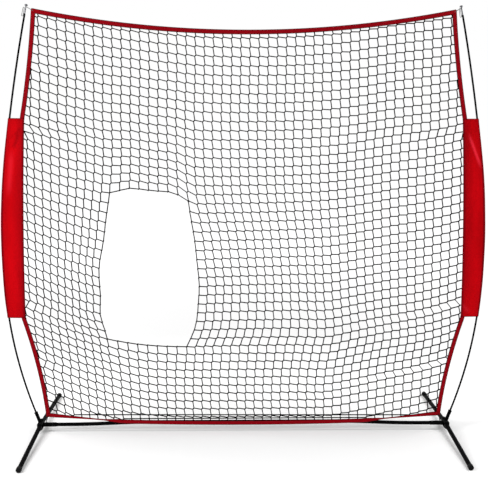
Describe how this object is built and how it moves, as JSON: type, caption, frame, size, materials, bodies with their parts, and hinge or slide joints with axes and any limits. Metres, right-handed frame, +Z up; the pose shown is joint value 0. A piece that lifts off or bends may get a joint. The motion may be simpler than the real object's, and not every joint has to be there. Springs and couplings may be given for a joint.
{
  "type": "pitching target net",
  "caption": "Free-standing bow-frame pitching net with folding steel legs and an off-centre target opening.",
  "frame": {"origin": "on the floor, under the middle of the base", "axes": "+X to the right as the pitcher sees it, -Y towards the pitcher, +Z up"},
  "size_m": [2.4698, 1.053, 2.1853],
  "materials": {
    "steel_black": "glossy black powder coat",
    "pole_black": "black glass-fibre rod, smooth",
    "tip_silver": "turned metal, fine lathe marks",
    "zinc_steel": "bright zinc plate",
    "fastener_black": "black oxide",
    "spring_steel": "blued spring strip",
    "cap_rubber": "black rubber, matt",
    "mesh_black": "knotted black cord",
    "tape_red": "dark red woven binding",
    "sleeve_red": "bright red woven cloth",
    "elastic_grey": "pale grey braided elastic",
    "elastic_black": "black braided elastic"
  },
  "bodies": {
    "root": {"bottom_tape": "tape_red", "centre_snap_spring": "spring_steel", "coupler_rivet": "zinc_steel", "crossbar_coupler": "steel_black", "left_bottom_corner_loop": "elastic_black", "left_crossbar": "steel_black", "left_crossbar_arm": "steel_black", "left_hub_bracket": "steel_black", "left_lower_side_tape": "tape_red", "left_pole_ferrules": "zinc_steel", "left_pole_lower_section": "pole_black", "left_pole_middle_section": "pole_black", "left_pole_socket": "steel_black", "left_pole_tip": "tip_silver", "left_pole_upper_section": "pole_black", "left_sleeve": "sleeve_red", "left_snap_spring": "spring_steel", "left_top_corner_loop": "elastic_grey", "left_upper_side_tape": "tape_red", "leg_pivot_bolts": "fastener_black", "leg_pivot_nuts": "fastener_black", "net_mesh": "mesh_black", "right_bottom_corner_loop": "elastic_black", "right_crossbar": "steel_black", "right_crossbar_arm": "steel_black", "right_hub_bracket": "steel_black", "right_lower_side_tape": "tape_red", "right_pole_ferrules": "zinc_steel", "right_pole_lower_section": "pole_black", "right_pole_middle_section": "pole_black", "right_pole_socket": "steel_black", "right_pole_tip": "tip_silver", "right_pole_upper_section": "pole_black", "right_sleeve": "sleeve_red", "right_snap_spring": "spring_steel", "right_top_corner_loop": "elastic_grey", "right_upper_side_tape": "tape_red", "top_tape": "tape_red"},
    "left_front_leg_body": {"left_front_leg": "steel_black", "left_front_leg_cap": "cap_rubber", "left_front_leg_knuckle": "steel_black"},
    "left_rear_leg_body": {"left_rear_leg": "steel_black", "left_rear_leg_cap": "cap_rubber", "left_rear_leg_knuckle": "steel_black"},
    "right_front_leg_body": {"right_front_leg": "steel_black", "right_front_leg_cap": "cap_rubber", "right_front_leg_knuckle": "steel_black"},
    "right_rear_leg_body": {"right_rear_leg": "steel_black", "right_rear_leg_cap": "cap_rubber", "right_rear_leg_knuckle": "steel_black"},
    "left_button_body": {"left_snap_button": "zinc_steel"},
    "right_button_body": {"right_snap_button": "zinc_steel"},
    "centre_button_body": {"centre_snap_button": "zinc_steel"}
  },
  "joints": [
    {"name": "left_front_leg_fold", "type": "hinge", "parent": "root", "child": "left_front_leg_body", "pos_m": [-1.0668, -0.031, 0.036], "axis": [0, 0, 1], "range_deg": [0, 90]},
    {"name": "left_rear_leg_fold", "type": "hinge", "parent": "root", "child": "left_rear_leg_body", "pos_m": [-1.0668, 0.031, 0.036], "axis": [0, 0, -1], "range_deg": [0, 90]},
    {"name": "right_front_leg_fold", "type": "hinge", "parent": "root", "child": "right_front_leg_body", "pos_m": [1.0668, -0.031, 0.036], "axis": [0, 0, -1], "range_deg": [0, 90]},
    {"name": "right_rear_leg_fold", "type": "hinge", "parent": "root", "child": "right_rear_leg_body", "pos_m": [1.0668, 0.031, 0.036], "axis": [0, 0, 1], "range_deg": [0, 90]},
    {"name": "left_button_press", "type": "slide", "parent": "root", "child": "left_button_body", "axis": [0, 1, 0], "range_m": [0, 0.004], "stiffness_N_per_m": 400, "springref_m": -0.005, "deforming": ["left_snap_spring"]},
    {"name": "right_button_press", "type": "slide", "parent": "root", "child": "right_button_body", "axis": [0, 1, 0], "range_m": [0, 0.004], "stiffness_N_per_m": 400, "springref_m": -0.005, "deforming": ["right_snap_spring"]},
    {"name": "centre_button_press", "type": "slide", "parent": "root", "child": "centre_button_body", "axis": [0, -1, 0], "range_m": [0, 0.004], "stiffness_N_per_m": 400, "springref_m": -0.005, "deforming": ["centre_snap_spring"]}
  ]
}
